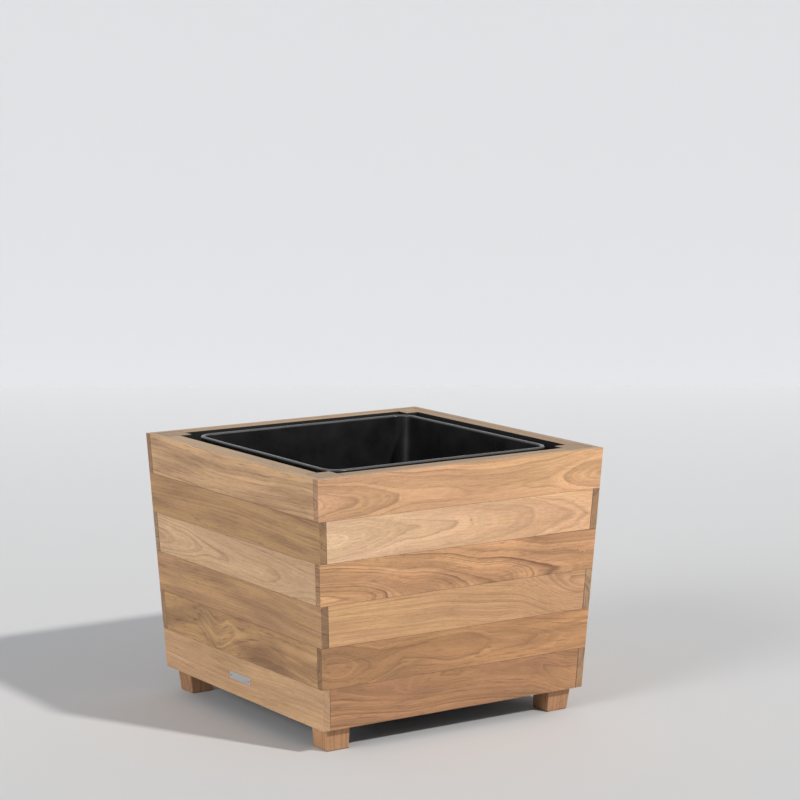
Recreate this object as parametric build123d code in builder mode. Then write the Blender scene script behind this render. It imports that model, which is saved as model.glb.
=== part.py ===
from build123d import *
import os

# Square planter box of solid teak. Four walls of edge-glued boards lean outwards and lap at the
# corners, each wall is screwed from inside to four corner posts, and the posts run on below the
# boards as feet. A plastic liner with a rolled lip stands on a slatted floor and lifts out.
#
# Millimetres. The origin is on the ground under the middle of the box, +Z is up, the front is -Y,
# and the wall with the name plate is -X, the left one.

# The box
TOP_SIDE = 610            # outer width at the rim
BOTTOM_SIDE = 560         # outer width at the lower edge of the boards
HEIGHT = 490              # ground to rim
FOOT_HEIGHT = 43          # ground to the lower edge of the boards
COURSES = 6               # boards one above the other in each wall, counted from the rim down
BOARD = 15                # thickness of a board, measured level
POST = 49                 # width of a corner post, measured level
FOOT_TAPER = 4.5          # how much narrower each foot is at the ground than at the boards
FOOT_EASING = 2           # chamfer round the sole of a foot

# Rails behind the boards, between the posts
RAIL = 23                 # thickness of the top rails and of the ledgers
TOP_RAIL_HEIGHT = 45      # the top rails are flush with the rim
LEDGER_HEIGHT = 40        # the ledgers carry the floor
LEDGER_RISE = 5           # lower edge of the boards to the underside of a ledger

# Floor
SLATS = 6
SLAT_WIDTH = 64
SLAT_GAP = 10
SLAT = 15                 # thickness of a slat
SLAT_END_GAP = 1.5        # room between the end of a slat and the wall

# Liner
LIP_SIDE = 478            # outer width of the rolled lip
LIP_WIDTH = 8
LIP_HEIGHT = 7
LIP_CORNER = 35           # outer corner radius of the lip
LIP_EASING = 3.2          # radius along the edges of the lip's top
LIP_DROP = 0.5            # rim of the box to the top of the lip
LINER_BASE_SIDE = 410     # outer width of the liner at its base
LINER_CORNER = 30         # outer corner radius of the liner's walls
LINER_WALL = 3
DRAIN_HOLE = 12           # diameter
DRAIN_SPACING = 260       # between the outer drain holes

# Screws, all of one size, with a flat-bottomed pan head
SCREW = 4.5               # shank diameter
SCREW_LENGTH = 32         # under the head
SCREW_POINT = 6           # length of the conical point
HEAD = 8.5                # head diameter
HEAD_HEIGHT = 2.6
SCREW_BORE = 4.8          # hole for the shank
HEAD_BORE = 10            # counterbore for the head
DRIVER_ROOM = 35          # how far a counterbore is cut back from the head's bearing face
TIP_ROOM = 0.5            # hole beyond the screw's tip
WALL_BEARING = 20         # wood under a head in a post, a top rail or a ledger
SLAT_BEARING = 12         # wood under a head in a slat
POST_SCREW_STAGGER = 12   # the two screws of a course pass above and below the course's middle
RAIL_SCREWS = (-195, -65, 65, 195)
LEDGER_SCREW_RISE = 13    # above the underside of a ledger, clear of the slats' screws
SLAT_SCREW_SPREAD = 36    # between the two screws at a slat's end

# Name plate
PLATE_LENGTH = 70
PLATE_WIDTH = 14
PLATE = 1.2               # thickness
PLATE_CORNER = 1.5
PLATE_RISE = 36.5         # lower edge of the boards to the middle of the plate
PIN_SPACING = 62
PIN = 1.6                 # shank diameter
PIN_BORE = 1.8
PIN_LENGTH = 9            # depth of its bore, from the face of the plate
PIN_POINT = 1
PIN_HEAD = 3
PIN_HEAD_HEIGHT = 0.6

# Worked out from the above
LEAN = (TOP_SIDE - BOTTOM_SIDE) / 2 / (HEIGHT - FOOT_HEIGHT)
COURSE_HEIGHT = (HEIGHT - FOOT_HEIGHT) / COURSES
LEDGER_BOTTOM = FOOT_HEIGHT + LEDGER_RISE
LEDGER_TOP = LEDGER_BOTTOM + LEDGER_HEIGHT
FLOOR_TOP = LEDGER_TOP + SLAT
LIP_TOP = HEIGHT - LIP_DROP

UP = Vector(0, 0, 1)
WALLS = {
    "front": Vector(0, -1, 0),
    "right": Vector(1, 0, 0),
    "back": Vector(0, 1, 0),
    "left": Vector(-1, 0, 0),
}


def half_width(z, inset=0):
    """Level distance from the middle of the box to a leaning face set in from the outside."""
    return BOTTOM_SIDE / 2 + LEAN * (z - FOOT_HEIGHT) - inset


def leaning_plane(outward, z=0, inset=0):
    """Plane that leans with a wall, with its normal out of the box and its x level."""
    middle = outward * half_width(z, inset) + UP * z
    return Plane(origin=middle, x_dir=UP.cross(outward), z_dir=outward - UP * LEAN)


def course_top(course):
    return HEIGHT - (course - 1) * COURSE_HEIGHT


def save(piece, name):
    piece.part.label = name
    export_step(piece.part, f"parts/{name}.step")


def wall_screw_seat(outward, sideways, z):
    """Bearing face of a screw driven level into a wall from inside, with its normal to the head."""
    seat = outward * half_width(z, BOARD + WALL_BEARING) + UP.cross(outward) * sideways + UP * z
    return Plane(origin=seat, z_dir=-outward)


def post_screw_seats(outward, course, ends=(-1, 1)):
    """Seats of the screws that hold one board to the posts at the given ends of its wall."""
    stagger = POST_SCREW_STAGGER if outward.X == 0 else -POST_SCREW_STAGGER
    z = course_top(course) - COURSE_HEIGHT / 2 + stagger
    return [wall_screw_seat(outward, end * half_width(z, BOARD + POST / 2), z) for end in ends]


def rail_screw_seats(outward, z):
    return [wall_screw_seat(outward, sideways, z) for sideways in RAIL_SCREWS]


def slat_screw_seats(y, ends=(-1, 1)):
    """Seats of the screws that hold the slat at y to the ledgers, with their normals up."""
    x = half_width(LEDGER_TOP, BOARD + RAIL / 2)
    z = LEDGER_TOP + SLAT_BEARING
    spread = SLAT_SCREW_SPREAD / 2
    return [Plane(origin=(end * x, y + side * spread, z)) for end in ends for side in (-1, 1)]


def drill(seats):
    """Bore the part being built for screws that bear on the given seats."""
    with Locations(*[seat.offset(DRIVER_ROOM) for seat in seats]):
        CounterBoreHole(
            radius=SCREW_BORE / 2,
            counter_bore_radius=HEAD_BORE / 2,
            counter_bore_depth=DRIVER_ROOM,
            depth=DRIVER_ROOM + SCREW_LENGTH + TIP_ROOM,
        )


def wall_bar(outward, bottom, top, inset, thickness, end_inset, seats, pins=()):
    """A bar that lies along a wall between two heights, with its ends cut to the lean."""
    along = outward.cross(UP)
    with BuildPart() as bar:
        with BuildSketch(Plane(origin=(0, 0, 0), x_dir=outward, z_dir=along)):
            with BuildLine():
                Polyline(
                    (half_width(bottom, inset), bottom),
                    (half_width(top, inset), top),
                    (half_width(top, inset + thickness), top),
                    (half_width(bottom, inset + thickness), bottom),
                    close=True,
                )
            make_face()
        extrude(amount=TOP_SIDE / 2, both=True)
        for end in (along, -along):
            split(bisect_by=leaning_plane(end, inset=end_inset), keep=Keep.BOTTOM)
        drill(seats)
        if pins:
            with Locations(*pins):
                Hole(PIN_BORE / 2, depth=PIN_LENGTH)
    return bar


def fastener(shank, length, point, head, head_height):
    """One screw or pin along Z, with its bearing face at the origin and its head above that."""
    with BuildPart() as one:
        with BuildSketch(Plane.XZ):
            with BuildLine():
                Polyline(
                    (0, -length),
                    (shank / 2, point - length),
                    (shank / 2, 0),
                    (head / 2, 0),
                    (head / 2, head_height),
                    (0, head_height),
                    close=True,
                )
            make_face()
        revolve(axis=Axis.Z)
    return one


def save_fasteners(one, places, name):
    with BuildPart() as group:
        with Locations(*places):
            add(one.part)
    save(group, name)


def post_outline(side):
    """Corners of a post seen square to a wall: it leans with the wall, and its foot tapers."""
    outer = half_width(FOOT_HEIGHT, BOARD)
    inner = half_width(FOOT_HEIGHT, BOARD + POST)
    corners = [
        (inner, 0),
        (outer - FOOT_TAPER, 0),
        (outer, FOOT_HEIGHT),
        (half_width(HEIGHT, BOARD), HEIGHT),
        (half_width(HEIGHT, BOARD + POST), HEIGHT),
        (inner, FOOT_HEIGHT),
    ]
    return [(side * across, z) for across, z in corners]


def corner_post(x_side, y_side, seats):
    """A post and its foot in one piece, in the corner on the given sides of the middle."""
    with BuildPart() as post:
        with BuildSketch(Plane(origin=(0, 0, 0), x_dir=(1, 0, 0), z_dir=(0, -1, 0))):
            with BuildLine():
                Polyline(*post_outline(x_side), close=True)
            make_face()
        extrude(amount=-y_side * TOP_SIDE / 2)
        with BuildSketch(Plane.YZ):
            with BuildLine():
                Polyline(*post_outline(y_side), close=True)
            make_face()
        extrude(amount=x_side * TOP_SIDE / 2, mode=Mode.INTERSECT)
        sole = post.faces().sort_by(Axis.Z)[0]
        chamfer(sole.edges(), length=FOOT_EASING)
        drill(seats)
    return post


os.makedirs("parts", exist_ok=True)

rail_screw_z = HEIGHT - TOP_RAIL_HEIGHT / 2
ledger_screw_z = LEDGER_BOTTOM + LEDGER_SCREW_RISE
slat_pitch = SLAT_WIDTH + SLAT_GAP
slat_middles = [(n - (SLATS - 1) / 2) * slat_pitch for n in range(SLATS)]
plate_plane = leaning_plane(WALLS["left"], z=FOOT_HEIGHT + PLATE_RISE)
pin_offsets = (-PIN_SPACING / 2, PIN_SPACING / 2)
pin_places = [plate_plane.location * Location((x, 0, PLATE)) for x in pin_offsets]

# Boards. In the odd courses the front and back boards run through to the corners and the side
# boards stop behind them, and in the even courses it is the other way round.
for wall, outward in WALLS.items():
    for course in range(1, COURSES + 1):
        runs_through = (course % 2 == 1) == (outward.X == 0)
        seats = post_screw_seats(outward, course)
        if course == 1:
            seats += rail_screw_seats(outward, rail_screw_z)
        if course == COURSES:
            seats += rail_screw_seats(outward, ledger_screw_z)
        board = wall_bar(
            outward,
            course_top(course + 1),
            course_top(course),
            0,
            BOARD,
            0 if runs_through else BOARD,
            seats,
            pins=pin_places if (wall, course) == ("left", COURSES) else (),
        )
        save(board, f"{wall}_board_{course}")

# Top rails and ledgers, between the posts
for wall, outward in WALLS.items():
    rail = wall_bar(
        outward,
        HEIGHT - TOP_RAIL_HEIGHT,
        HEIGHT,
        BOARD,
        RAIL,
        BOARD + POST,
        rail_screw_seats(outward, rail_screw_z),
    )
    save(rail, f"{wall}_top_rail")
    seats = rail_screw_seats(outward, ledger_screw_z)
    if outward.Y == 0:
        for y in slat_middles:
            seats += slat_screw_seats(y, ends=[outward.X])
    ledger = wall_bar(outward, LEDGER_BOTTOM, LEDGER_TOP, BOARD, RAIL, BOARD + POST, seats)
    save(ledger, f"{wall}_ledger")

# Posts, each held by one screw into every board of its two walls
for y_wall in ("front", "back"):
    for x_wall in ("left", "right"):
        seats = []
        for wall, other in ((y_wall, x_wall), (x_wall, y_wall)):
            end = WALLS[other].dot(UP.cross(WALLS[wall]))
            for course in range(1, COURSES + 1):
                seats += post_screw_seats(WALLS[wall], course, ends=[end])
        post = corner_post(WALLS[x_wall].X, WALLS[y_wall].Y, seats)
        save(post, f"{y_wall}_{x_wall}_post")

# Floor slats, resting on the side ledgers
slat_length = 2 * (half_width(LEDGER_TOP, BOARD) - SLAT_END_GAP)
for n, y in enumerate(slat_middles, start=1):
    with BuildPart() as slat:
        with BuildSketch(Plane.XY.offset(LEDGER_TOP)):
            with Locations((0, y)):
                Rectangle(slat_length, SLAT_WIDTH)
        extrude(amount=SLAT)
        drill(slat_screw_seats(y))
    save(slat, f"floor_slat_{n}")

# Liner: drafted walls, a flat base with drain holes, and a lip rounded over along its top
wall_top_side = LIP_SIDE - 2 * LIP_WIDTH + 2 * LINER_WALL
with BuildPart() as liner:
    with BuildSketch(Plane.XY.offset(FLOOR_TOP)):
        RectangleRounded(LINER_BASE_SIDE, LINER_BASE_SIDE, LINER_CORNER)
    with BuildSketch(Plane.XY.offset(LIP_TOP)):
        RectangleRounded(wall_top_side, wall_top_side, LINER_CORNER)
    loft(ruled=True)
    with BuildSketch(Plane.XY.offset(LIP_TOP)):
        RectangleRounded(LIP_SIDE, LIP_SIDE, LIP_CORNER)
    extrude(amount=-LIP_HEIGHT)
    hollow_base = LINER_BASE_SIDE - 2 * LINER_WALL
    hollow_top = wall_top_side - 2 * LINER_WALL
    with BuildSketch(Plane.XY.offset(FLOOR_TOP + LINER_WALL)):
        RectangleRounded(hollow_base, hollow_base, LINER_CORNER - LINER_WALL)
    with BuildSketch(Plane.XY.offset(LIP_TOP)):
        RectangleRounded(hollow_top, hollow_top, LINER_CORNER - LINER_WALL)
    loft(ruled=True, mode=Mode.SUBTRACT)
    with Locations((0, 0, FLOOR_TOP + LINER_WALL)):
        Hole(DRAIN_HOLE / 2, depth=2 * LINER_WALL)
        with GridLocations(DRAIN_SPACING, DRAIN_SPACING, 2, 2):
            Hole(DRAIN_HOLE / 2, depth=2 * LINER_WALL)
    lip_top_face = liner.faces().sort_by(Axis.Z)[-1]
    fillet(lip_top_face.edges(), radius=LIP_EASING)
save(liner, "liner")

# Name plate and its two pins, on the lowest board of the left wall
with BuildPart() as plate:
    with BuildSketch(plate_plane):
        RectangleRounded(PLATE_LENGTH, PLATE_WIDTH, PLATE_CORNER)
    extrude(amount=PLATE)
    with Locations(*pin_places):
        Hole(PIN_BORE / 2, depth=2 * PLATE)
save(plate, "name_plate")

# Fasteners, each group of like ones as separate solids in one node
screw = fastener(SCREW, SCREW_LENGTH, SCREW_POINT, HEAD, HEAD_HEIGHT)
pin = fastener(PIN, PIN_LENGTH - TIP_ROOM, PIN_POINT, PIN_HEAD, PIN_HEAD_HEIGHT)
walls = WALLS.values()
courses = range(1, COURSES + 1)
post_seats = [seat for wall in walls for course in courses for seat in post_screw_seats(wall, course)]
rail_seats = [seat for wall in walls for seat in rail_screw_seats(wall, rail_screw_z)]
ledger_seats = [seat for wall in walls for seat in rail_screw_seats(wall, ledger_screw_z)]
slat_seats = [seat for y in slat_middles for seat in slat_screw_seats(y)]
save_fasteners(screw, post_seats, "post_screws")
save_fasteners(screw, rail_seats, "top_rail_screws")
save_fasteners(screw, ledger_seats, "ledger_screws")
save_fasteners(screw, slat_seats, "slat_screws")
save_fasteners(pin, pin_places, "name_plate_pins")
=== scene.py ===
import math
import random
from collections import namedtuple

import bpy
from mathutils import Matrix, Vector


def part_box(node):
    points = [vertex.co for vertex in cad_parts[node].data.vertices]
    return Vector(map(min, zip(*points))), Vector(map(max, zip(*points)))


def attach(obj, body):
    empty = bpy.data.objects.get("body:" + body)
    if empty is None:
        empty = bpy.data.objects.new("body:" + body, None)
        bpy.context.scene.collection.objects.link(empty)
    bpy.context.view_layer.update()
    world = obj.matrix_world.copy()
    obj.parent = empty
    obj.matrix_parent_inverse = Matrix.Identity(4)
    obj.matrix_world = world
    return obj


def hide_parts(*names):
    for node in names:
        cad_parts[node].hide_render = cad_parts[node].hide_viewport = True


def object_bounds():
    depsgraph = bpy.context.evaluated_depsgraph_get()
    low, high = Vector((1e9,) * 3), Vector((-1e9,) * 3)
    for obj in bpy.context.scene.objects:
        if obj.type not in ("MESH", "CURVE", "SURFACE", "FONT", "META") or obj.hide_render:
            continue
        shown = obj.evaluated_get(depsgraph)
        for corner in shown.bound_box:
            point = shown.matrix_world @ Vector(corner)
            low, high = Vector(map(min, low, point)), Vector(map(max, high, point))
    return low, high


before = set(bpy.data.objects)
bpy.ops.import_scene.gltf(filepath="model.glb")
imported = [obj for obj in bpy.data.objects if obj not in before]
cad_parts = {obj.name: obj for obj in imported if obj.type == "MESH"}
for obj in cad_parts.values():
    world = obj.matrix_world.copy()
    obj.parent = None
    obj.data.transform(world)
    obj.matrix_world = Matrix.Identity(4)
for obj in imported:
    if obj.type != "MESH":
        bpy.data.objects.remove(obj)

# A square, tapered planter box of bare teak with a black plastic liner. Metres, +Z up. The front
# wall is -Y, and the left wall, with the name plate, is -X. Lengths named below are in millimetres
# and go through mm(), apart from those of the stage and the camera, which are in metres.

CAD_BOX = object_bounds()
SCENE = bpy.context.scene
UP = Vector((0, 0, 1))
WALLS = {
    "front": Vector((0, -1, 0)),
    "right": Vector((1, 0, 0)),
    "back": Vector((0, 1, 0)),
    "left": Vector((-1, 0, 0)),
}
COURSES = 6
BOTTOM_HALF = 280  # half the box's width at its foot, mm
FOOT = 43          # how high the walls stand off the floor, mm
LEAN = 25 / 447    # how far a wall leans out for each millimetre up
RIM = 38           # width of the rim: a board and the rail behind it, mm


def mm(length):
    return length / 1000


def srgb(code):
    """A hex colour as the linear RGBA that shaders and lamps take."""
    parts = [int(code[i : i + 2], 16) / 255 for i in (1, 3, 5)]
    linear = [p / 12.92 if p <= 0.04045 else ((p + 0.055) / 1.055) ** 2.4 for p in parts]
    return (*linear, 1.0)


def add_node(tree, kind, inputs=None, **settings):
    """Adds a shader node with its settings. An input is a value, or a socket or node to link."""
    node = tree.nodes.new("ShaderNode" + kind)
    for name, value in settings.items():
        setattr(node, name, value)
    for key, value in (inputs or {}).items():
        if isinstance(value, bpy.types.Node):
            tree.links.new(value.outputs[0], node.inputs[key])
        elif isinstance(value, bpy.types.NodeSocket):
            tree.links.new(value, node.inputs[key])
        else:
            node.inputs[key].default_value = value
    return node


def new_material(name):
    """An empty material, its node tree and its surface shader."""
    material = bpy.data.materials.new(name)
    material.use_nodes = True
    return material, material.node_tree, material.node_tree.nodes["Principled BSDF"]


# ---------------------------------------------------------------- materials


# Teak. The pattern is solid: every piece carries, as the attribute "log", where each of its points
# lay in the tree it was sawn from (x along the trunk, y and z across it from the heart), so that
# the faces, edges and end grain of a board agree.
WANDER = 2.2       # how far the growth rings stray from round, mm
RIPPLE = 0.8       # small waves in the rings, mm
FRAY = 0.25        # the ragged edge that fibres give each ring, mm
UNEVEN = 2.2       # how much the rings differ in width
LATE_POWER = 3.2   # how late in its ring the wood turns dark
LATE_END = 0.88    # how far through its ring the late wood starts to give way to the next
KNOT_DRAW = 0.55   # a knot bends the rings further along the grain than across, by 1 over this
FINE_RING = 1.9    # fine lines that follow the rings, mm apart
FINE_DEPTH = 0.16  # how much those lines lighten and darken the wood
PORE_DEPTH = 0.17  # how much a pore darkens it
RELIEF = 0.12      # height of the bumps that late wood, fibres and pores make, mm
GRAIN = {  # noise drawn out along the trunk: mm along it, mm across it, detail, roughness
    "wander": (330, 50, 1.0, 0.5),
    "ripple": (70, 16, 1.0, 0.5),
    "fade": (150, 26, 1.0, 0.5),    # stretches where the late wood shows more or less
    "cloud": (210, 30, 3.0, 0.5),   # slow change of colour over a board
    "streak": (150, 3, 3.0, 0.6),   # streaks of colour
    "wisp": (60, 5, 2.0, 0.6),      # dark smears where the tree took up minerals
    "fibre": (24, 1, 2.0, 0.6),     # bundles of fibres, drawn about twice as coarse as they are
    "pore": (10, 0.8, 1.0, 0.5),    # open pores, in truth 0.3 wide, drawn wider so that they show
}
YELLOW_CAST, RED_CAST = "#FFF3E4", "#FFF0E7"  # a piece's own tone drifts between these casts
END_GRAIN_CAST = "#9A9EAE"                    # and end grain is darkened by this one
DULL_BROWN = "#8F6B4F"    # slow clouds
BAND_BROWN = "#936843"    # broad bands along the rings
STREAK_BROWN = "#8A6648"  # streaks along the trunk
LATE_BROWN = "#69452C"    # late wood
KNOT_BROWN = "#5E3A24"    # the heart of a knot
WISP_BROWN = "#664C3A"    # dark smears
UPWARD_GREY = "#A99A83"     # faces that look up
SHADE_AND_DIRT_BROWN = "#3B2A1E"          # painted shade and dirt on arrises in the joints
BLACK_COAT_AND_SHADE = "#0D0C0B"    # black coat on inner faces, also painted shade


def teak():
    """Teak, sawn, planed and sanded to about 180 grit, with no oil or varnish. It reads as golden
    to reddish brown, matt with a slight waxy gloss, with darker brown late wood on one side of
    each ring, fine open pores along the grain, and greyer, darker end grain."""
    material, tree, shader = new_material("teak_bare_sanded")

    # What lay_grain() writes. seed sets each piece's rings apart.
    vector = {}
    for name in ("log", "figure", "faces", "knot"):
        vector[name] = add_node(tree, "Attribute", attribute_name=name).outputs["Vector"]
    log = vector["log"]
    place = add_node(tree, "SeparateXYZ", {0: log})
    spacing, contrast, cloudy = add_node(tree, "SeparateXYZ", {0: vector["figure"]}).outputs
    end, joint, coat_and_shade = add_node(tree, "SeparateXYZ", {0: vector["faces"]}).outputs
    knot = add_node(tree, "SeparateXYZ", {0: vector["knot"]})
    tone = add_node(tree, "Attribute", attribute_name="tone").outputs["Color"]
    seed = add_node(tree, "Attribute", attribute_name="seed").outputs["Fac"]

    # Noise lies mostly between 0.3 and 0.7, and each MapRange below spreads the part it uses.
    grain = {}
    for name, (long, wide, detail, rough) in GRAIN.items():
        size = (1 / mm(long), 1 / mm(wide), 1 / mm(wide))
        stretch = add_node(tree, "VectorMath", {0: log, 1: size}, operation="MULTIPLY")
        inputs = {"Vector": stretch, "Scale": 1.0, "Detail": detail, "Roughness": rough}
        grain[name] = add_node(tree, "TexNoise", inputs)

    # The rings stray from round, slowly and then in small ripples. Noise strays from 0.5 by about
    # a quarter, hence the 4.
    moved = log
    for name, swing in (("wander", WANDER), ("ripple", RIPPLE), ("fibre", FRAY)):
        noise = grain[name].outputs["Color"]
        noise = add_node(tree, "VectorMath", {0: noise, 1: (0.5, 0.5, 0.5)}, operation="SUBTRACT")
        noise = add_node(tree, "VectorMath", {0: noise, "Scale": 4 * mm(swing)}, operation="SCALE")
        moved = add_node(tree, "VectorMath", {0: moved, 1: noise}, operation="ADD")
    moved = add_node(tree, "SeparateXYZ", {0: moved})

    # Round a knot the rings bulge outwards, over about the knot's own radius. Pieces without one
    # have a radius of 0, and the 1e-5 keeps that from dividing by nought.
    away_x = add_node(tree, "Math", {0: place.outputs[0], 1: knot.outputs[0]}, operation="SUBTRACT")
    away_x = add_node(tree, "Math", {0: away_x, 1: KNOT_DRAW}, operation="MULTIPLY")
    away_y = add_node(tree, "Math", {0: place.outputs[1], 1: knot.outputs[1]}, operation="SUBTRACT")
    away = add_node(tree, "CombineXYZ", {0: away_x, 1: away_y})
    away = add_node(tree, "VectorMath", {0: away}, operation="LENGTH").outputs["Value"]
    reach = add_node(tree, "Math", {0: knot.outputs[2], 1: 1e-5}, operation="ADD")
    near = add_node(tree, "Math", {0: away, 1: reach}, operation="DIVIDE")
    near = add_node(tree, "Math", {0: near, 1: 2.0}, operation="POWER")
    near = add_node(tree, "Math", {0: 0.0, 1: near}, operation="SUBTRACT")
    near = add_node(tree, "Math", {0: near}, operation="EXPONENT").outputs[0]
    bulge = {0: near, 1: knot.outputs[2], 2: moved.outputs[2]}
    bulge = add_node(tree, "Math", bulge, operation="MULTIPLY_ADD")

    # Which ring a point is in, and how far through it, from 0 in the early wood to 1 in the late.
    across = add_node(tree, "CombineXYZ", {1: moved.outputs[1], 2: bulge})
    radius = add_node(tree, "VectorMath", {0: across}, operation="LENGTH").outputs["Value"]
    years = add_node(tree, "Math", {0: radius, 1: spacing}, operation="DIVIDE")
    years = add_node(tree, "Math", {0: years, 1: seed}, operation="ADD")
    uneven = {"W": years, "Scale": 0.6, "Detail": 1.0}
    uneven = add_node(tree, "TexNoise", uneven, noise_dimensions="1D")
    years = add_node(tree, "Math", {0: uneven, 1: UNEVEN, 2: years}, operation="MULTIPLY_ADD")
    years = years.outputs[0]
    through = add_node(tree, "Math", {0: years}, operation="FRACT").outputs[0]
    late = add_node(tree, "Math", {0: through, 1: LATE_POWER}, operation="POWER")
    closing = {"Value": through, "From Min": LATE_END, "To Min": 1.0, "To Max": 0.0}
    closing = add_node(tree, "MapRange", closing, interpolation_type="SMOOTHSTEP")
    late = add_node(tree, "Math", {0: late, 1: closing}, operation="MULTIPLY")

    # Late wood is darker in some years than in others, fades in and out, and shows more on ends.
    year = add_node(tree, "Math", {0: years}, operation="FLOOR")
    strong = add_node(tree, "TexWhiteNoise", {"W": year}, noise_dimensions="1D")
    strong = add_node(tree, "MapRange", {"Value": strong, "To Min": 0.25, "To Max": 1.0})
    late = add_node(tree, "Math", {0: late, 1: strong}, operation="MULTIPLY")
    fade = {"Value": grain["fade"], "From Min": 0.35, "From Max": 0.6, "To Min": 0.45}
    fade = add_node(tree, "MapRange", fade)
    late = add_node(tree, "Math", {0: late, 1: fade}, operation="MULTIPLY")
    dark = add_node(tree, "Math", {0: contrast, 1: end, 2: contrast}, operation="MULTIPLY_ADD")
    line = add_node(tree, "Math", {0: late, 1: dark}, operation="MULTIPLY", use_clamp=True)
    line = line.outputs[0]

    # Broad bands and fine lines that follow the rings.
    band = {"W": years, "Scale": 0.55, "Detail": 1.0}
    band = add_node(tree, "TexNoise", band, noise_dimensions="1D")
    band = {"Value": band, "From Min": 0.35, "From Max": 0.65, "To Max": 0.27}
    band = add_node(tree, "MapRange", band)
    band = add_node(tree, "Math", {0: band, 1: contrast}, operation="MULTIPLY", use_clamp=True)
    fine = {"W": radius, "Scale": 1 / mm(FINE_RING), "Detail": 2.0}
    fine = add_node(tree, "TexNoise", fine, noise_dimensions="1D")
    fine = {"Value": fine, "From Min": 0.3, "From Max": 0.7, "To Min": -0.5, "To Max": 0.5}
    fine = add_node(tree, "MapRange", fine)
    fine = add_node(tree, "Math", {0: fine, 1: contrast}, operation="MULTIPLY")

    # Slow clouds of dull brown, streaks, the heart of a knot and dark wisps.
    dull = {"Value": grain["cloud"], "From Min": 0.42, "From Max": 0.7, "To Max": 0.58}
    dull = add_node(tree, "MapRange", dull)
    dull = add_node(tree, "Math", {0: dull, 1: cloudy}, operation="MULTIPLY", use_clamp=True)
    streak = {
        "Value": grain["streak"], "From Min": 0.35, "From Max": 0.65, "To Min": 0.2, "To Max": 0.0
    }
    streak = add_node(tree, "MapRange", streak)
    heart = {"Value": near, "From Min": 0.8, "From Max": 0.98, "To Max": 0.75}
    heart = add_node(tree, "MapRange", heart)
    wisp = {"Value": grain["wisp"], "From Min": 0.57, "From Max": 0.75, "To Max": 0.45}
    wisp = add_node(tree, "MapRange", wisp)
    wisp = add_node(tree, "Math", {0: wisp, 1: cloudy}, operation="MULTIPLY", use_clamp=True)

    # The wood's colour: the piece's own tone, and over it all of these in turn.
    hue = add_node(tree, "SeparateXYZ", {0: grain["cloud"].outputs["Color"]})
    hue = add_node(tree, "MapRange", {"Value": hue.outputs[1], "From Min": 0.38, "From Max": 0.62})
    hue = {0: hue, 6: srgb(YELLOW_CAST), 7: srgb(RED_CAST)}
    hue = add_node(tree, "Mix", hue, data_type="RGBA")
    colour = {0: 1.0, 6: tone, 7: hue.outputs[2]}
    colour = add_node(tree, "Mix", colour, data_type="RGBA", blend_type="MULTIPLY")
    for amount, brown in (
        (dull, DULL_BROWN),
        (band, BAND_BROWN),
        (streak, STREAK_BROWN),
        (line, LATE_BROWN),
        (heart, KNOT_BROWN),
        (wisp, WISP_BROWN),
    ):
        colour = {0: amount, 6: colour.outputs[2], 7: srgb(brown)}
        colour = add_node(tree, "Mix", colour, data_type="RGBA")

    # End grain drinks in dirt and damp, and faces that look up are mixed towards grey.
    colour = {0: end, 6: colour.outputs[2], 7: srgb(END_GRAIN_CAST)}
    colour = add_node(tree, "Mix", colour, data_type="RGBA", blend_type="MULTIPLY")
    facing = add_node(tree, "NewGeometry").outputs["Normal"]
    facing = add_node(tree, "SeparateXYZ", {0: facing})
    greyed = {"Value": facing.outputs[2], "From Min": 0.6, "From Max": 1.0, "To Max": 0.55}
    greyed = add_node(tree, "MapRange", greyed)
    colour = {0: greyed, 6: colour.outputs[2], 7: srgb(UPWARD_GREY)}
    colour = add_node(tree, "Mix", colour, data_type="RGBA")

    # Fibres and pores.
    fibre = grain["fibre"].outputs["Fac"]
    pale = {"Value": fibre, "From Min": 0.3, "From Max": 0.7, "To Min": 0.93, "To Max": 1.07}
    pale = add_node(tree, "MapRange", pale)
    pale = add_node(tree, "Math", {0: fine, 1: FINE_DEPTH, 2: pale}, operation="MULTIPLY_ADD")
    pore = add_node(tree, "MapRange", {"Value": grain["pore"], "From Min": 0.60, "From Max": 0.68})
    pore = pore.outputs[0]
    pitted = add_node(tree, "Math", {0: pore, 1: -PORE_DEPTH, 2: pale}, operation="MULTIPLY_ADD")
    colour = {0: colour.outputs[2], "Scale": pitted}
    colour = add_node(tree, "VectorMath", colour, operation="SCALE")

    # Painted shade and dirt darken the joints, and the inner faces are coated black.
    colour = add_node(tree, "Mix", {0: joint, 6: colour, 7: srgb(SHADE_AND_DIRT_BROWN)}, data_type="RGBA")
    # The black coat also paints the deep shade inside the rim and under the box.
    colour = {0: coat_and_shade, 6: colour.outputs[2], 7: srgb(BLACK_COAT_AND_SHADE)}
    colour = add_node(tree, "Mix", colour, data_type="RGBA")
    tree.links.new(colour.outputs[2], shader.inputs["Base Color"])

    # Late wood is denser and a little glossier, and pores are open pits.
    rough = add_node(tree, "MapRange", {"Value": line, "To Min": 0.62, "To Max": 0.5})
    rough = add_node(tree, "Math", {0: pore, 1: 0.15, 2: rough}, operation="MULTIPLY_ADD")
    tree.links.new(rough.outputs[0], shader.inputs["Roughness"])
    height = add_node(tree, "Math", {0: line, 1: 0.4, 2: fibre}, operation="MULTIPLY_ADD")
    height = add_node(tree, "Math", {0: pore, 1: -0.8, 2: height}, operation="MULTIPLY_ADD")
    relief = add_node(tree, "Bump", {"Strength": 0.5, "Distance": mm(RELIEF), "Height": height})
    tree.links.new(relief.outputs[0], shader.inputs["Normal"])
    shader.inputs["IOR"].default_value = 1.5
    return material


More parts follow.
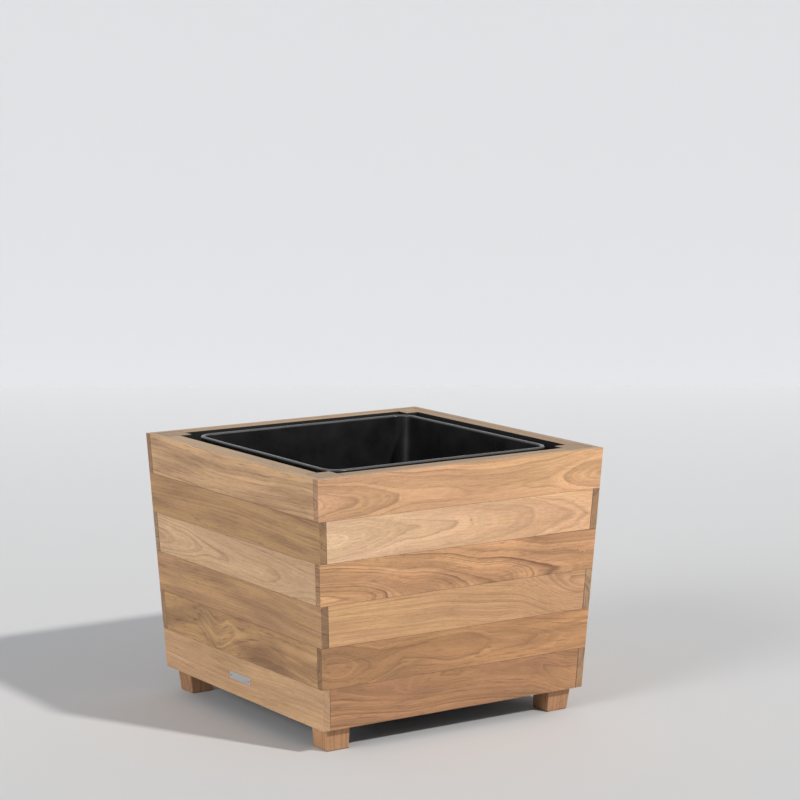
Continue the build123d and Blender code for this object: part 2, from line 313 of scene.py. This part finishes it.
LIP_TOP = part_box("liner")[1].z
LIP_HIGHLIGHT_FROM = 4     # how far below the lip's top the painted highlight starts, mm
LIP_HIGHLIGHT_FULLY = 1    # and how far below it the painted highlight is as strong as it gets
MOULD_TEXTURE = 1.2  # size of the mould's texture, drawn coarser than it is, mm
MOULD_RELIEF = 0.05  # and its height
DUST_PATCH = 45      # size of the patches that dust lies in, mm


def polyethylene():
    """Black polyethylene, moulded: near black, a satin skin with the mould's fine texture, drawn
    coarser than it is, a thin uneven film of dust, and a painted highlight on the lip's top."""
    material, tree, shader = new_material("polyethylene_black_moulded")
    place = add_node(tree, "TexCoord").outputs["Object"]
    texture = {"Vector": place, "Scale": 1 / mm(MOULD_TEXTURE), "Detail": 2.0}
    texture = add_node(tree, "TexNoise", texture)
    relief = {"Strength": 0.35, "Distance": mm(MOULD_RELIEF), "Height": texture}
    relief = add_node(tree, "Bump", relief)
    tree.links.new(relief.outputs[0], shader.inputs["Normal"])
    dust = add_node(tree, "TexNoise", {"Vector": place, "Scale": 1 / mm(DUST_PATCH), "Detail": 3.0})
    dust = add_node(tree, "MapRange", {"Value": dust, "From Min": 0.35, "From Max": 0.75})
    colour = {0: dust, 6: srgb("#141415"), 7: srgb("#1E1E1F")}
    colour = add_node(tree, "Mix", colour, data_type="RGBA")
    height = add_node(tree, "SeparateXYZ", {0: place}).outputs[2]
    # The top of the lip is mixed towards pale grey: a painted highlight.
    low, high = LIP_TOP - mm(LIP_HIGHLIGHT_FROM), LIP_TOP - mm(LIP_HIGHLIGHT_FULLY)
    lip_highlight = {"Value": height, "From Min": low, "From Max": high, "To Max": 0.3}
    lip_highlight = add_node(tree, "MapRange", lip_highlight)
    colour = {0: lip_highlight, 6: colour.outputs[2], 7: srgb("#8D8E8F")}
    colour = add_node(tree, "Mix", colour, data_type="RGBA")
    tree.links.new(colour.outputs[2], shader.inputs["Base Color"])
    rough = add_node(tree, "MapRange", {"Value": dust, "To Min": 0.26, "To Max": 0.38})
    tree.links.new(rough.outputs[0], shader.inputs["Roughness"])
    shader.inputs["IOR"].default_value = 1.51
    return material


SCRATCH_RELIEF = 0.02  # depth of the scratches on the metals, mm


def brushed_metal(name, code, roughness, grit, length):
    """A metal rubbed one way along Y: fine scratches grit by length millimetres, drawn a few times
    as wide as they are so that they show. They draw its highlights out across the rubbing. With
    grit and length alike the metal is speckled instead."""
    material, tree, shader = new_material(name)
    place = add_node(tree, "TexCoord").outputs["Object"]
    size = (1 / mm(grit), 1 / mm(length), 1 / mm(grit))
    stretch = add_node(tree, "VectorMath", {0: place, 1: size}, operation="MULTIPLY")
    scratch = add_node(tree, "TexNoise", {"Vector": stretch, "Scale": 1.0, "Detail": 2.0})
    relief = {"Strength": 0.4, "Distance": mm(SCRATCH_RELIEF), "Height": scratch}
    relief = add_node(tree, "Bump", relief)
    tree.links.new(relief.outputs[0], shader.inputs["Normal"])
    rough = {"Value": scratch, "To Min": roughness - 0.06, "To Max": roughness + 0.08}
    rough = add_node(tree, "MapRange", rough)
    tree.links.new(rough.outputs[0], shader.inputs["Roughness"])
    shader.inputs["Base Color"].default_value = srgb(code)
    shader.inputs["Metallic"].default_value = 1.0
    return material


# ---------------------------------------------------------------- modelling helpers


def only(piece):
    """Makes piece the one selected, active object."""
    bpy.ops.object.select_all(action="DESELECT")
    piece.select_set(True)
    bpy.context.view_layer.objects.active = piece


def clean_copy(node):
    """A CAD node's shape as a new object, its loose triangles merged into whole flat faces."""
    piece = bpy.data.objects.new(node + "_piece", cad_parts[node].data.copy())
    SCENE.collection.objects.link(piece)
    piece.data.materials.clear()
    only(piece)
    bpy.ops.mesh.customdata_custom_splitnormals_clear()
    bpy.ops.object.mode_set(mode="EDIT")
    bpy.ops.mesh.select_all(action="SELECT")
    bpy.ops.mesh.remove_doubles(threshold=mm(0.01))
    bpy.ops.mesh.dissolve_limited(angle_limit=math.radians(0.5))
    bpy.ops.object.mode_set(mode="OBJECT")
    return piece


def ease_arrises(piece, radius, shortest):
    """Rounds every sharp edge of piece that is longer than shortest, both in millimetres."""
    mesh = piece.data
    faces_of = {}
    for face in mesh.polygons:
        for key in face.edge_keys:
            faces_of.setdefault(key, []).append(face.normal)
    for part in (mesh.vertices, mesh.edges, mesh.polygons):
        part.foreach_set("select", [False] * len(part))
    only(piece)
    bpy.ops.object.mode_set(mode="EDIT")
    bpy.ops.mesh.select_mode(type="EDGE")
    bpy.ops.object.mode_set(mode="OBJECT")
    for edge in mesh.edges:
        ends = [mesh.vertices[i].co for i in edge.vertices]
        normals = faces_of[edge.key]
        sharp = len(normals) == 2 and normals[0].angle(normals[1]) > math.radians(40)
        edge.select = sharp and (ends[0] - ends[1]).length > mm(shortest)
    bpy.ops.object.mode_set(mode="EDIT")
    bpy.ops.mesh.bevel(offset=mm(radius), segments=3, profile=0.5, affect="EDGES")
    bpy.ops.object.mode_set(mode="OBJECT")


def settle_shading(piece):
    """Smooth over the rounded edges, with the flat faces kept flat."""
    only(piece)
    bpy.ops.object.shade_smooth_by_angle(angle=math.radians(35))
    weighted = piece.modifiers.new("flat_faces", "WEIGHTED_NORMAL")
    weighted.keep_sharp = True
    bpy.ops.object.modifier_apply(modifier=weighted.name)


def hand_over(piece, node, body, material):
    """Gives a finished piece its material and its place in the assembly."""
    piece.data.materials.append(material)
    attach(piece, body)
    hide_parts(node)


# ---------------------------------------------------------------- timber

# How a piece was sawn from its log, seen from outside with the grain running left to right. heart
# is how far the heart lay behind the face, and side how far above the face's middle, each a list
# of (place along the piece from 0 to 1, mm): the rings close in a point where heart rises or
# falls. tones are the wood's own colour at the left and right ends. rings is the width of a ring
# in mm, contrast how dark the late wood is, and cloudy how much dull brown clouds it. knot is
# (place along, mm above the middle, radius in mm).
Cut = namedtuple("Cut", "heart side tones rings contrast cloudy knot", defaults=[None])

SEEN_CUTS = {
    "front_board_1": Cut(
        [(0, 14), (0.07, 24), (0.34, 42), (0.6, 45), (0.78, 43), (1, 27)],
        [(0, -6), (0.34, -8), (0.6, -14), (0.8, -12), (1, -8)],
        ("#EBC39D", "#FFD4A6"), 8.0, 0.85, 0.5,
    ),
    "front_board_2": Cut(
        [(0, 8), (0.1, 18), (0.3, 36), (0.45, 40), (0.66, 50), (0.88, 64), (1, 70)],
        [(0, 4), (0.2, 8), (0.4, 4), (0.7, 2), (1, -2)],
        ("#F8DDBC", "#F6CDA6"), 8.0, 0.65, 0.2, (0.53, 8, 3),
    ),
    "front_board_3": Cut(
        [(0, 10), (0.12, 14), (0.35, 40), (0.6, 66), (0.85, 88), (1, 92)],
        [(0, -26), (0.3, -38), (0.6, -40), (0.85, -36), (1, -34)],
        ("#EFC395", "#EFBF95"), 7.5, 1.3, 0.8, (0.95, -4, 4),
    ),
    "front_board_4": Cut(
        [(0, 40), (0.4, 46), (0.65, 44), (1, 24)],
        [(0, 84), (0.4, 78), (0.7, 62), (1, 18)],
        ("#E2BC8F", "#DBB38E"), 4.8, 0.7, 0.5,
    ),
    "front_board_5": Cut(
        [(0, 26), (0.06, 21), (0.14, 30), (0.22, 38), (0.3, 42), (0.5, 37), (0.66, 46), (1, 58)],
        [(0, 4), (0.08, 0), (0.2, -4), (0.3, 8), (0.5, 4), (1, -6)],
        ("#BB966E", "#E0B181"), 8.0, 1.0, 1.0,
    ),
    "front_board_6": Cut(
        [(0, 52), (0.2, 50), (0.48, 40), (0.7, 46), (1, 38)],
        [(0, 40), (0.3, 30), (0.5, 36), (0.8, 20), (1, -10)],
        ("#C39A76", "#C79C75"), 8.0, 1.2, 1.0,
    ),
    "left_board_1": Cut(
        [(0, 54), (0.5, 48), (1, 50)],
        [(0, 62), (0.5, 56), (1, 66)],
        ("#EBC9A1", "#E1C098"), 6.0, 0.7, 1.1,
    ),
    "left_board_2": Cut(
        [(0, 70), (0.5, 78), (1, 70)],
        [(0, 80), (0.5, 84), (1, 78)],
        ("#CCA97D", "#C8A77C"), 5.0, 0.6, 1.0,
    ),
    "left_board_3": Cut(
        [(0, 14), (0.15, 24), (0.35, 34), (0.6, 37), (1, 50)],
        [(0, -4), (0.3, -2), (0.7, -8), (1, -4)],
        ("#F0D2AC", "#E6C9A5"), 7.0, 0.8, 0.4,
    ),
    "left_board_4": Cut(
        [(0, 40), (0.5, 46), (1, 44)],
        [(0, 90), (0.6, 96), (1, 84)],
        ("#D5B086", "#CFAC82"), 5.0, 0.7, 0.9,
    ),
    "left_board_5": Cut(
        [(0, 46), (0.2, 42), (0.3, 34), (0.4, 36), (0.55, 44), (1, 42)],
        [(0, 8), (0.26, 16), (0.36, -8), (0.46, 10), (0.7, 24), (1, 12)],
        ("#DBB786", "#D8B586"), 8.0, 0.9, 1.6,
    ),
    "left_board_6": Cut(
        [(0, 60), (0.5, 66), (1, 54)],
        [(0, 50), (0.5, 40), (1, 54)],
        ("#E9C69E", "#E3C29B"), 7.5, 0.7, 0.5,
    ),
    "front_left_post": Cut(
        [(0, 60), (1, 64)],
        [(0, 50), (1, 44)],
        ("#CCA47E", "#CCA47E"), 7.0, 1.1, 0.6,
    ),
    "front_right_post": Cut(
        [(0, 70), (1, 60)],
        [(0, 40), (1, 44)],
        ("#C9A07C", "#C9A07C"), 7.0, 1.1, 0.6,
    ),
    "back_left_post": Cut(
        [(0, 66), (1, 60)],
        [(0, 40), (1, 50)],
        ("#C39C78", "#C39C78"), 7.0, 1.1, 0.6,
    ),
}
TONES = ("#DFB890", "#EBCBA2", "#D3A87C", "#DDB58A", "#C99C72", "#C39A72", "#E2BC92")
BOARD_ARRIS = 0.8    # how far the arrises of boards, rails and ledgers are rounded, mm
POST_ARRIS = 1.5     # and those of posts and slats
SHORTEST_ARRIS = 12  # shorter edges are those round screw holes, and stay sharp, mm
STATION = 24         # the grain is written at cross-sections this far apart, mm
ARRIS_BAND = 2.5     # a point nearer than this to the outside of the box is on it, mm
HOLE_INSET = 3       # screw holes lie further than this inside a piece's outline, mm
JOINT_SHADE_AND_DIRT = 0.45    # how much painted shade and dirt darken an arris in a joint
SOAKED = (0.3, 0.7)  # how dark end grain gets, from piece to piece
SOAKED_TOP = 0.15    # and in the rim's end grain, which looks up

# Cosines between a face's normal and a direction, by which faces are told apart.
END_GRAIN = 0.8      # a face is end grain if its normal is this near the grain's direction
LOOKS_UP = 0.8       # and is in the rim if it is this near straight up as well
SIDE = 0.95          # it is part of an eased arris if it is less near than this to all six sides
LOOKS_THE_WAY = 0.5  # it is coated if it is this near a direction that is to be coated


def chance_cut(node):
    """A likely cut for a piece that has none of its own, always the same for the same node."""
    draw = random.Random(node)
    heart = [(0, draw.uniform(14, 60))]
    side = [(0, draw.uniform(-40, 70))]
    for stop in (0.25, 0.5, 0.75, 1):
        heart.append((stop, max(12, heart[-1][1] + draw.uniform(-16, 16))))
        side.append((stop, side[-1][1] + draw.uniform(-14, 14)))
    tones = (draw.choice(TONES), draw.choice(TONES))
    rings, contrast, cloudy = draw.uniform(6, 8.5), draw.uniform(0.5, 1.0), draw.uniform(0.4, 1)
    return Cut(heart, side, tones, rings, contrast, cloudy)


def eased(stops, place):
    """The value at place on a smooth curve through stops, each (place, value)."""
    for (start, low), (stop, high) in zip(stops, stops[1:]):
        if place <= stop:
            step = max(0.0, (place - start) / (stop - start))
            return low + (high - low) * step * step * (3 - 2 * step)
    return stops[-1][1]


def write_attribute(mesh, name, kind, domain, values):
    """Stores values, one tuple for each point or face of mesh, as a named attribute."""
    attribute = mesh.attributes.new(name, kind, domain)
    key = {"FLOAT_VECTOR": "vector", "FLOAT_COLOR": "color", "FLOAT": "value"}[kind]
    attribute.data.foreach_set(key, [number for value in values for number in value])


def cut_stations(piece, along, low, high, spacing):
    """Divides the faces of piece at planes across it, spacing mm apart from low to high."""
    only(piece)
    bpy.ops.object.mode_set(mode="EDIT")
    count = max(2, round((high - low) / mm(spacing)))
    for station in range(1, count):
        bpy.ops.mesh.select_all(action="SELECT")
        place = along * (low + (high - low) * station / count)
        bpy.ops.mesh.bisect(plane_co=place, plane_no=along)
    bpy.ops.object.mode_set(mode="OBJECT")


def in_a_joint(point):
    """Whether a point on an eased arris is where two pieces meet, and not on an open edge."""
    half = mm(BOTTOM_HALF) + (point.z - mm(FOOT)) * LEAN
    insets = [half - abs(reach) for reach in (point.x, point.y)]
    edge = mm(ARRIS_BAND)
    if point.z > CAD_BOX[1][2] - edge:
        return edge < min(insets) < mm(RIM) - edge
    outer = sum(inset < edge for inset in insets)
    return outer == 1 and point.z > mm(FOOT) + edge


def lay_grain(piece, cut, along, up, face, coated):
    """Writes where each point of piece lay in its log. along, up and face are unit vectors: the
    grain's direction, the width's, and out of the face that shows. Faces that look the way of one
    of coated are coated black, and so are the walls of screw holes, above the feet. The black also
    paints the deep shade inside the rim and under the box."""
    mesh = piece.data
    spans = [[v.co.dot(way) for v in mesh.vertices] for way in (along, up, face)]
    (low, high), (bottom, top), (_, front) = [(min(span), max(span)) for span in spans]
    cut_stations(piece, along, low, high, STATION)
    length, level = high - low, (bottom + top) / 2
    outline = ((along, low, high), (up, bottom, top))
    draw = random.Random(piece.name)
    felled = draw.uniform(0, 40)
    points, tones = [], []
    left, right = (Vector(srgb(tone)) for tone in cut.tones)
    for vertex in mesh.vertices:
        place = (vertex.co.dot(along) - low) / length
        side = vertex.co.dot(up) - level - mm(eased(cut.side, place))
        depth = mm(eased(cut.heart, place)) + vertex.co.dot(face) - front
        points.append((felled + place * length, side, depth))
        tones.append(left.lerp(right, place))
    write_attribute(mesh, "log", "FLOAT_VECTOR", "POINT", points)
    write_attribute(mesh, "tone", "FLOAT_COLOR", "POINT", tones)
    knot = (-1, 0, 0)
    if cut.knot:
        place, height, radius = cut.knot
        knot = (felled + place * length, mm(height - eased(cut.side, place)), mm(radius))
    write_attribute(mesh, "knot", "FLOAT_VECTOR", "POINT", [knot] * len(points))
    figure = (mm(cut.rings), cut.contrast, cut.cloudy)
    write_attribute(mesh, "figure", "FLOAT_VECTOR", "POINT", [figure] * len(points))
    write_attribute(mesh, "seed", "FLOAT", "POINT", [(draw.uniform(0, 90),)] * len(points))
    soaked = draw.uniform(*SOAKED)
    kinds = []
    for polygon in mesh.polygons:
        normal, centre = polygon.normal, polygon.center
        end = 0.0
        if abs(normal.dot(along)) > END_GRAIN:
            end = SOAKED_TOP if normal.z > LOOKS_UP else soaked
        on_an_arris = max(abs(normal.dot(way)) for way in (along, up, face)) < SIDE
        joint = JOINT_SHADE_AND_DIRT if on_an_arris and in_a_joint(centre) else 0.0
        inside = all(
            least + mm(HOLE_INSET) < centre.dot(way) < most - mm(HOLE_INSET)
            for way, least, most in outline
        )
        in_a_hole = inside and abs(normal.dot(face)) < LOOKS_THE_WAY
        looks_inwards = any(normal.dot(way) > LOOKS_THE_WAY for way in coated)
        coat_and_shade = (looks_inwards or in_a_hole) and centre.z > mm(FOOT)
        kinds.append((end, joint, float(coat_and_shade)))
    write_attribute(mesh, "faces", "FLOAT_VECTOR", "FACE", kinds)


def timber(node, along, up, face, arris, material, coated=()):
    """One piece of teak, from its CAD node, with eased arrises and its own grain."""
    piece = clean_copy(node)
    ease_arrises(piece, arris, SHORTEST_ARRIS)
    lay_grain(piece, SEEN_CUTS.get(node) or chance_cut(node), along, up, face, coated)
    settle_shading(piece)
    hand_over(piece, node, "planter_box", material)


def all_timber(material):
    """Every teak piece: the boards, rails and ledgers of each wall, the posts and the slats."""
    for wall, outward in WALLS.items():
        right = UP.cross(outward)
        for course in range(1, COURSES + 1):
            timber(f"{wall}_board_{course}", right, UP, outward, BOARD_ARRIS, material, (-outward,))
        timber(f"{wall}_top_rail", right, UP, outward, BOARD_ARRIS, material, (-outward, -UP))
        # Ledgers and slats are coated black, which also stands in for the deep shade under the box.
        timber(f"{wall}_ledger", right, UP, outward, BOARD_ARRIS, material, (-outward, UP, -UP))
    for y_wall in ("front", "back"):
        for x_wall in ("left", "right"):
            across, out = WALLS[x_wall], WALLS[y_wall]
            inner = (-across, -out)
            timber(f"{y_wall}_{x_wall}_post", UP, across, out, POST_ARRIS, material, inner)
    for node in sorted(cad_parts):
        if node.startswith("floor_slat"):
            width = WALLS["back"]
            sides = (UP, -UP, width, -width)
            timber(node, WALLS["right"], width, UP, POST_ARRIS, material, sides)


# ---------------------------------------------------------------- liner and plate

LIP_WAVE = 1.6        # how far the moulded lip strays from straight, mm
LIP_WAVE_LONG = 150   # and over what length, mm
LIP_STATION = 20      # the lip is divided this finely to take that wave, mm
PLATE_LENGTH = 70     # mm
PLATE_WIDTH = 14
PLATE_THICK = 1.2
PLATE_CORNER = 1.5    # radius of its corners, mm
PLATE_EASE = 0.3      # how far its edges are eased, mm
PLATE_MARGIN = 1.1    # a raised border round the blank field of the plate, mm
PLATE_FIELD = 0.2     # how deep the field lies, mm
ALIGNED = 0.9         # cosine above which an edge or a face looks out of the wall


def select_where(piece, kind, wanted):
    """Opens piece in edit mode with only the edges or faces chosen by wanted(element) selected."""
    only(piece)
    bpy.ops.object.mode_set(mode="EDIT")
    bpy.ops.mesh.select_mode(type=kind)
    bpy.ops.mesh.select_all(action="DESELECT")
    bpy.ops.object.mode_set(mode="OBJECT")
    for element in {"EDGE": piece.data.edges, "FACE": piece.data.polygons}[kind]:
        element.select = wanted(element)
    bpy.ops.object.mode_set(mode="EDIT")


def liner(material):
    """The liner, a little uneven towards its lip, as thin mouldings are."""
    piece = clean_copy("liner")
    low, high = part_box("liner")
    for way in (Vector((1, 0, 0)), Vector((0, 1, 0))):
        cut_stations(piece, way, low.x, high.x, LIP_STATION)
    upper = piece.vertex_groups.new(name="upper")
    for vertex in piece.data.vertices:
        rise = (vertex.co.z - low.z) / (high.z - low.z)
        upper.add([vertex.index], rise * rise, "REPLACE")
    swell = bpy.data.textures.new("liner_unevenness", "CLOUDS")
    swell.noise_scale = mm(LIP_WAVE_LONG)
    only(piece)
    for direction in ("X", "Y"):
        wave = piece.modifiers.new("wave", "DISPLACE")
        wave.texture = swell
        wave.texture_coords = "LOCAL"
        wave.direction = direction
        wave.strength = mm(2 * LIP_WAVE)
        wave.vertex_group = upper.name
        bpy.ops.object.modifier_apply(modifier=wave.name)
    settle_shading(piece)
    hand_over(piece, "liner", "liner", material)


def name_plate(material):
    """The plate: a blank field inside a narrow raised border, its corners and edges eased."""
    low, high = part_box("name_plate")
    outward = (WALLS["left"] - UP * LEAN).normalized()
    bpy.ops.object.select_all(action="DESELECT")
    bpy.ops.mesh.primitive_cube_add(
        size=1,
        location=(low + high) / 2,
        rotation=outward.to_track_quat("Z", "Y").to_euler(),
    )
    piece = bpy.context.object
    piece.name = "name_plate_piece"
    piece.scale = (mm(PLATE_LENGTH), mm(PLATE_WIDTH), mm(PLATE_THICK))
    bpy.ops.object.transform_apply(location=True, rotation=True, scale=True)

    def through_the_plate(edge):
        one, other = (piece.data.vertices[i].co for i in edge.vertices)
        return abs((one - other).normalized().dot(outward)) > ALIGNED

    select_where(piece, "EDGE", through_the_plate)
    bpy.ops.mesh.bevel(offset=mm(PLATE_CORNER), segments=5, profile=0.5, affect="EDGES")
    bpy.ops.object.mode_set(mode="OBJECT")
    select_where(piece, "FACE", lambda face: face.normal.dot(outward) > ALIGNED)
    bpy.ops.transform.translate(value=-outward * mm(PLATE_EASE))
    bpy.ops.mesh.inset(thickness=mm(PLATE_EASE), depth=mm(PLATE_EASE))
    bpy.ops.mesh.inset(thickness=mm(PLATE_MARGIN), depth=0)
    bpy.ops.mesh.inset(thickness=mm(PLATE_FIELD), depth=-mm(PLATE_FIELD))
    bpy.ops.object.mode_set(mode="OBJECT")
    settle_shading(piece)
    hand_over(piece, "name_plate", "planter_box", material)


# ---------------------------------------------------------------- stage, light and camera

VIEW_AZIMUTH = math.radians(-33.68)   # from the front towards the left
VIEW_ELEVATION = math.radians(8.306)
VIEW_DISTANCE = 4.795                 # from the camera to AIM, m
VIEW_LENS = 117.25                    # focal length, mm
AIM = Vector((0.0448, -0.0302, 0.5647))
FLOOR_SIZE = 60                       # m
BACKDROP = 4.2                        # from the middle of the stage to the wall behind it, m
BACKDROP_WIDTH = 9
BACKDROP_HEIGHT = 4
STAGE_ROUGHNESS = 0.8
SURROUND = ("#F6F8FC", 0.34)          # light from all round: its colour and strength
SUNS = {  # towards the lamp, strength, how wide it looks in degrees, colour
    "key": (Vector((0.30, -0.705, 0.643)), 1.95, 3.5, "#FFFCF8"),
    "fill": (Vector((-0.90, -0.18, 0.40)), 1.17, 26, "#FFFFFF"),
}


def stage():
    """A pale floor, and a wall behind that faces the camera."""
    bpy.ops.object.select_all(action="DESELECT")
    bpy.ops.mesh.primitive_plane_add(size=FLOOR_SIZE, location=(0, 0, 0))
    floor = bpy.context.object
    floor.name = "studio_floor"
    away = Vector((-math.sin(VIEW_AZIMUTH), math.cos(VIEW_AZIMUTH), 0))
    bpy.ops.mesh.primitive_plane_add(
        size=1,
        location=away * BACKDROP + UP * BACKDROP_HEIGHT / 2,
        rotation=(-away).to_track_quat("Z", "Y").to_euler(),
    )
    wall = bpy.context.object
    wall.name = "studio_wall"
    wall.scale = (BACKDROP_WIDTH, BACKDROP_HEIGHT, 1)
    bpy.ops.object.transform_apply(location=True, rotation=True, scale=True)
    for piece, name, code in (
        (floor, "floor_pale_matt", "#DBDCDD"),
        (wall, "wall_white_matt", "#E0E1E4"),
    ):
        material, _, shader = new_material(name)
        shader.inputs["Base Color"].default_value = srgb(code)
        shader.inputs["Roughness"].default_value = STAGE_ROUGHNESS
        piece.data.materials.append(material)


def light():
    """The world's even light, and the suns."""
    world = bpy.data.worlds.new("studio_surround")
    SCENE.world = world
    world.use_nodes = True
    surround = world.node_tree.nodes["Background"]
    code, strength = SURROUND
    surround.inputs["Color"].default_value = srgb(code)
    surround.inputs["Strength"].default_value = strength
    for name, (toward, strength, spread, code) in SUNS.items():
        lamp = bpy.data.lights.new(name, "SUN")
        lamp.energy = strength
        lamp.angle = math.radians(spread)
        lamp.color = srgb(code)[:3]
        holder = bpy.data.objects.new(name, lamp)
        SCENE.collection.objects.link(holder)
        holder.rotation_euler = toward.to_track_quat("Z", "Y").to_euler()


def camera():
    """The camera: 1.26 m above the floor, with a long lens."""
    lens = bpy.data.cameras.new("camera")
    lens.lens = VIEW_LENS
    eye = bpy.data.objects.new("camera", lens)
    SCENE.collection.objects.link(eye)
    level = math.cos(VIEW_ELEVATION)
    back = Vector(
        (math.sin(VIEW_AZIMUTH) * level, -math.cos(VIEW_AZIMUTH) * level, math.sin(VIEW_ELEVATION))
    )
    eye.location = AIM + back * VIEW_DISTANCE
    eye.rotation_euler = back.to_track_quat("Z", "Y").to_euler()
    SCENE.camera = eye
    SCENE.view_settings.view_transform = "Standard"


# ---------------------------------------------------------------- the whole thing

all_timber(teak())
liner(polyethylene())
# Aluminium sheet, brushed along its length: pale silver with a soft, streaky shine.
name_plate(brushed_metal("aluminium_brushed", "#E3E4E3", 0.46, 0.25, 9))
# Stainless steel, cold formed and left plain: a darker grey with a sharper, speckled shine.
steel = brushed_metal("stainless_plain", "#B9B7B2", 0.3, 0.3, 0.3)
for name in ("post_screws", "top_rail_screws", "ledger_screws", "slat_screws", "name_plate_pins"):
    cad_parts[name].material_slots[0].material = steel
stage()
light()
camera()
